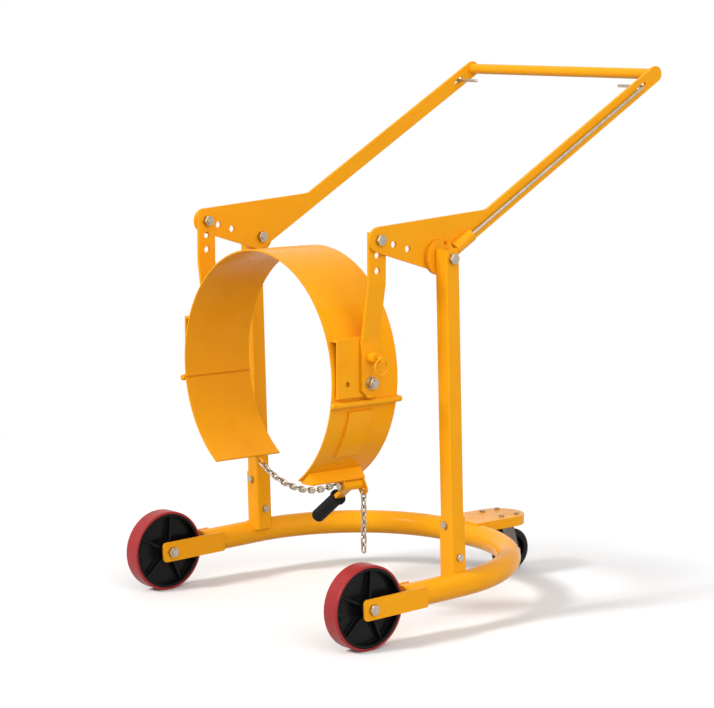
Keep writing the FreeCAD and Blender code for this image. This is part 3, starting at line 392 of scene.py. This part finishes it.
def coil_spring(name, start, direction, length):
    """A compression spring: a ring of wire spun and lifted turn by turn, with its two ends filled."""
    mesh = bmesh.new()
    upright = Matrix.Translation((spring_r, 0, 0)) @ Matrix.Rotation(math.pi / 2, 4, "X")
    bmesh.ops.create_circle(mesh, segments=wire_sides, radius=spring_wire / 2, matrix=upright)
    steps = turn_steps * spring_turns
    bmesh.ops.spin(mesh, geom=mesh.verts[:] + mesh.edges[:], cent=(0, 0, 0), axis=(0, 0, 1),
                   dvec=(0, 0, length / steps), angle=math.tau * spring_turns, steps=steps)
    bmesh.ops.holes_fill(mesh, edges=mesh.edges[:])
    bmesh.ops.recalc_face_normals(mesh, faces=mesh.faces)
    stand_along(mesh, start, direction)
    return new_piece(name, mesh, zinc)


for side, hand in ((-1, "left"), (1, "right")):
    foot = on_arm(spring_from, side * latch_y, 0)
    spring = coil_spring(hand + "_coil", foot, arm_dir, spring_to - spring_from)
    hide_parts(hand + "_latch_spring")
    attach(spring, "lever")
    on_arm(spring_seat, side * latch_y, 0)
    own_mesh(spring)

# Hangers: two cranked flat bars that swing on bolts at the nose of the lever and carry the saddle.
dress(["left_hanger", "right_hanger"], paint, paint_edge)
dress(["hanger_bolts"], zinc, zinc_edge)

# Index pin: a spring pin in a turned housing on the left hanger, drawn by a wire ring. It locks the
# saddle level or upright.
dress(["index_housing", "index_pin", "pull_ring"], paint, 0)
dress(["index_spring"], zinc, 0)

# Saddle: a band rolled from 4 mm sheet, with a pressed trunnion bracket welded to each side of it,
# and a stud and nuts in each bracket.
trunnion = Vector(joints["saddle_tilt"]["pos_m"])
band_r = 0.292          # outer face of the band
dress(["saddle_band", "left_trunnion_bracket", "right_trunnion_bracket"], paint, paint_edge)
dress(["trunnion_studs", "trunnion_nuts"], zinc, zinc_edge)
bracket_seams = []
for side, bracket in ((-1, "left_trunnion_bracket"), (1, "right_trunnion_bracket")):
    low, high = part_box(bracket)
    for height in (low.z, high.z):
        across = side * math.sqrt(band_r ** 2 - (height - trunnion.z) ** 2)
        bracket_seams.append([Vector((x, across, height)) for x in spread(low.x, high.x)])
weld("bracket_welds", bracket_seams, "saddle")

# Hinges: turned knuckles along the lower edges of the band and the tops of the jaws, each set on
# edge and welded along its root, with a headed pin driven through them.
hinge_turn = math.radians(99.1)
root_half = 0.0075      # from the hinge's line to a knuckle's root
root_turn = root_half / band_r
knuckle_front = 0.044
knuckle_mid = 0.052
band_front, band_rear = (corner.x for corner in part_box("saddle_band"))
mid_from = band_front + knuckle_front
mid_to = mid_from + knuckle_mid
dress(["hinge_pins"], paint, paint_edge)


def knuckle_seam(side, turn, start, end):
    """The root of a knuckle, along the band or the jaw at an angle from the top of the saddle."""
    across = side * band_r * math.sin(turn)
    height = trunnion.z + band_r * math.cos(turn)
    return [Vector((x, across, height)) for x in spread(start, end)]


band_knuckles = ((band_front, mid_from), (mid_to, band_rear))
weld("hinge_welds", [knuckle_seam(side, hinge_turn - root_turn, start, end)
                     for side in (-1, 1) for start, end in band_knuckles], "saddle")
weld("left_jaw_welds", [knuckle_seam(-1, hinge_turn + root_turn, mid_from, mid_to)], "left_jaw")
weld("right_jaw_welds", [knuckle_seam(1, hinge_turn + root_turn, mid_from, mid_to)], "right_jaw")

# Jaws: two rolled plates that hang from the hinges under the band, each with a raised panel pressed
# down its middle. The left one carries the tensioner and the right one the chain's anchor.
dress(["left_jaw", "right_jaw", "tension_bracket", "chain_anchor"], paint, paint_edge)

# Chain tensioner: a claw on a flat steel lever that hooks a link and is pulled over centre by a
# black rubber grip, pushed onto the lever, with a collar at its root and finger ribs.


def black_rubber():
    material, start, shader = new_finish("black_rubber", specular_ior_level=0.14)
    clouds = start.noise(45.0, 3.0)
    start.fill(shader, {
        "Base Color": start.blend(clouds, (0.003, 0.003, 0.003, 1), (0.008, 0.008, 0.008, 1)),
        "Roughness": 0.5 + 0.2 * clouds,
        "Normal": start.bump(start.noise(600.0), 0.00015),
    })
    return material


tension_pivot = Vector(joints["tension_lever_swing"]["pos_m"])
tension_turn = math.radians(53)     # lever from the plumb line
grip_dir = Vector((0, math.sin(tension_turn), -math.cos(tension_turn)))
grip_from = 0.058       # collar's face from the pivot
grip_length = 0.106
grip_r = 0.0165
grip_round = 0.008
collar_r = 0.020
collar = 0.009
collar_lip = 0.002
rib_count = 9
rib_depth = 0.0012
rib_from, rib_to = 0.018, 0.090
arc_steps = 8
spin_steps = 48


def spin_profile(name, profile, start, direction, finish):
    """A turned piece: the profile, as pairs of radius and distance, spun round a line from start."""
    mesh = bmesh.new()
    spots = [mesh.verts.new((radius, 0, reach)) for radius, reach in profile]
    edges = [mesh.edges.new(pair) for pair in zip(spots, spots[1:])]
    bmesh.ops.spin(mesh, geom=spots + edges, cent=(0, 0, 0), axis=(0, 0, 1), angle=math.tau,
                   steps=spin_steps, use_merge=True)
    bmesh.ops.remove_doubles(mesh, verts=mesh.verts, dist=0.000001)
    bmesh.ops.recalc_face_normals(mesh, faces=mesh.faces)
    stand_along(mesh, start, direction)
    return new_piece(name, mesh, finish)


def grip_profile():
    """From the collar's face, along the ribs, to the rounded end."""
    face = collar_r - collar_lip
    profile = [(0, 0), (face, 0), (collar_r, collar_lip)]
    profile += [(collar_r, collar - collar_lip), (face, collar)]
    profile += [(grip_r + rib_depth, collar), (grip_r, collar + rib_depth), (grip_r, rib_from)]
    pitch = (rib_to - rib_from) / rib_count
    for i in range(rib_count):
        for step in range(1, arc_steps + 1):
            share = step / arc_steps
            dip = rib_depth * (1 - math.cos(share * math.tau)) / 2
            profile.append((grip_r - dip, rib_from + pitch * (i + share)))
    for step in range(arc_steps + 1):
        turn = step / arc_steps * math.pi / 2
        inward = grip_round * (1 - math.cos(turn))
        short = grip_round * (1 - math.sin(turn))
        profile.append((grip_r - inward, grip_length - short))
    return profile + [(0, grip_length)]


dress(["tension_lever"], paint, paint_edge)
dress(["tension_bolt"], zinc, zinc_edge)
grip_root = tension_pivot + grip_dir * grip_from
grip = spin_profile("ribbed_grip", grip_profile(), grip_root, grip_dir, black_rubber())
crisp_grip = grip.modifiers.new("crisp", "EDGE_SPLIT")
crisp_grip.split_angle = sharp_angle
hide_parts("tension_grip")
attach(grip, "tension_lever")

# Chain: short-link welded steel chain, bright zinc. One length goes under the jaws from the anchor
# to the claw. A spare length hangs from an eye beside it.
dress(["chain_tail"], zinc, 0)


def chain_links():
    """The clamp chain's links, with each link one closed skin."""
    mesh = bmesh.new()
    mesh.from_mesh(frame["nodes"]["clamp_chain"].data)
    bmesh.ops.remove_doubles(mesh, verts=mesh.verts, dist=0.00001)
    return new_piece("clamp_links", mesh, zinc)


links = chain_links()
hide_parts("clamp_chain")
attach(links, "right_jaw")
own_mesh(links)

# Caster: a folded bracket, coped over the back of the tube and welded to it, carries a bought swivel
# caster with a zinc-plated plate, a duller plated fork whose darker colour is painted shade, a black
# nylon centre and a black rubber tyre.


def black_tyre():
    material, start, shader = new_finish("black_tyre", specular_ior_level=0.16)
    clouds = start.noise(25.0, 3.0)
    start.fill(shader, {
        "Base Color": start.blend(clouds, (0.005, 0.005, 0.005, 1), (0.014, 0.014, 0.013, 1)),
        "Roughness": 0.55 + 0.2 * clouds,
        "Normal": start.bump(start.noise(450.0, 3.0), 0.0002),
    })
    return material


def dull_zinc_painted_shade():
    material, start, shader = new_finish("dull_zinc_painted_shade", metallic=1.0)
    clouds = start.noise(50.0, 4.0)
    start.fill(shader, {
        # The fork's zinc is painted darker than the other plating: painted shade for the shade it sits
        # in.
        "Base Color": start.blend(clouds, (0.11, 0.095, 0.085, 1), (0.22, 0.19, 0.165, 1)),
        "Roughness": 0.3 + 0.25 * clouds,
        "Normal": start.bump(start.noise(600.0), 0.00008),
    })
    return material


sheet_low, sheet_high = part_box("caster_bracket")
sheet_thick = 0.006
sheet_sink = 0.0015     # cope of the bracket over the top of the tube
sheet_half = (sheet_high.y - sheet_low.y) / 2
tube_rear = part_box("base_tube")[1].x - tube_r
tube_middle = sheet_high.z - sheet_thick + sheet_sink - tube_r
dress(["caster_bracket"], paint, paint_edge)
dress(["caster_plate", "caster_bolts", "caster_kingpin", "caster_axle"], zinc, zinc_edge)
# The fork gets the duller zinc with painted shade in its colour.
dress(["caster_fork"], dull_zinc_painted_shade(), paint_edge)
dress(["caster_balls"], zinc, 0)
dress(["caster_hub"], nylon, moulded_edge)
dress(["caster_tyre"], black_tyre(), moulded_edge)
sheet_seams = [[Vector((sheet_low.x, across, tube_middle + round_tube(tube_rear - sheet_low.x)))
                for across in spread(-sheet_half, sheet_half)]]
for side in (-1, 1):
    sheet_seams.append([Vector((tube_rear + round_tube(up), side * sheet_half, tube_middle + up))
                        for up in spread(sheet_low.z - tube_middle, tube_r - sheet_sink)])
weld("sheet_welds", sheet_seams, "chassis")

# Studio: a pale floor that fades to white away from the machine, a key light from the front, a broad
# fill from the left, a weak light from behind and a long lens at the height of the lever.
floor_half = 15.0
fade_from, fade_to = 1.3, 2.6


def background_rays(start):
    """1 for a ray that shows the background, seen straight, mirrored or through something clear."""
    kinds = ("Is Camera Ray", "Is Glossy Ray", "Is Transmission Ray")
    straight, mirrored, through = (start.node("ShaderNodeLightPath", {}, {}, kind) for kind in kinds)
    return straight + mirrored + through


def pale_floor():
    material, start, shader = new_finish("pale_floor", roughness=0.8, specular_ior_level=0.2)
    seen = background_rays(start)
    pale = start.blend(start.noise(3.0, 3.0), (0.93, 0.93, 0.93, 1), (0.96, 0.96, 0.96, 1))
    start.fill(shader, {"Base Color": start.blend(seen, (0.4, 0.4, 0.4, 1), pale)})
    away = start.node("ShaderNodeVectorMath", {"operation": "LENGTH"}, {0: start.place()}, "Value")
    white = start.node("ShaderNodeEmission", {}, {"Color": (1, 1, 1, 1), "Strength": 1.0})
    share = start.band(away, fade_from, fade_to) * seen
    lit = Shade(start.tree, shader.outputs["BSDF"])
    mixed = start.node("ShaderNodeMixShader", {}, {0: share, 1: lit, 2: white})
    start.fill(start.tree.nodes["Material Output"], {"Surface": mixed})
    return material


def flat_floor():
    mesh = bmesh.new()
    bmesh.ops.create_grid(mesh, x_segments=1, y_segments=1, size=floor_half)
    return new_piece("floor", mesh, pale_floor())


flat_floor()

sky = bpy.data.worlds.new("studio")
sky.use_nodes = True
sky_start = Shade(sky.node_tree)
sky_light = 0.48
strength = sky_light + background_rays(sky_start) * (1 - sky_light)
sky_start.fill(sky.node_tree.nodes["Background"], {"Color": (1, 1, 1, 1), "Strength": strength})
bpy.context.scene.world = sky


def light(name, energy, spread_deg, travel, mirrored=True):
    """A distant soft light that shines along travel, and shows in glossy surfaces if mirrored is set."""
    lamp = bpy.data.lights.new(name, "SUN")
    lamp.energy = energy
    lamp.angle = math.radians(spread_deg)
    placed = add_object(name, lamp)
    placed.rotation_euler = Vector(travel).to_track_quat("-Z", "Y").to_euler()
    placed.visible_glossy = mirrored


light("key_light", 2.1, 12, (0.95, -0.2, -0.8))
light("fill_light", 2.2, 80, (0.25, 0.9, -0.3))
light("back_light", 0.6, 120, (-0.6, -0.8, 0.1), mirrored=False)

look_down = math.radians(7.91)
look_round = math.radians(-39.34)
lens = bpy.data.cameras.new("camera")
lens.lens = 127.03
lens.sensor_width = 36.0
camera = add_object("camera", lens)
camera.location = (-4.0374, -4.7470, 1.4679)
camera.rotation_euler = (math.pi / 2 - look_down, 0, look_round)
bpy.context.scene.camera = camera
bpy.context.scene.view_settings.view_transform = "Standard"
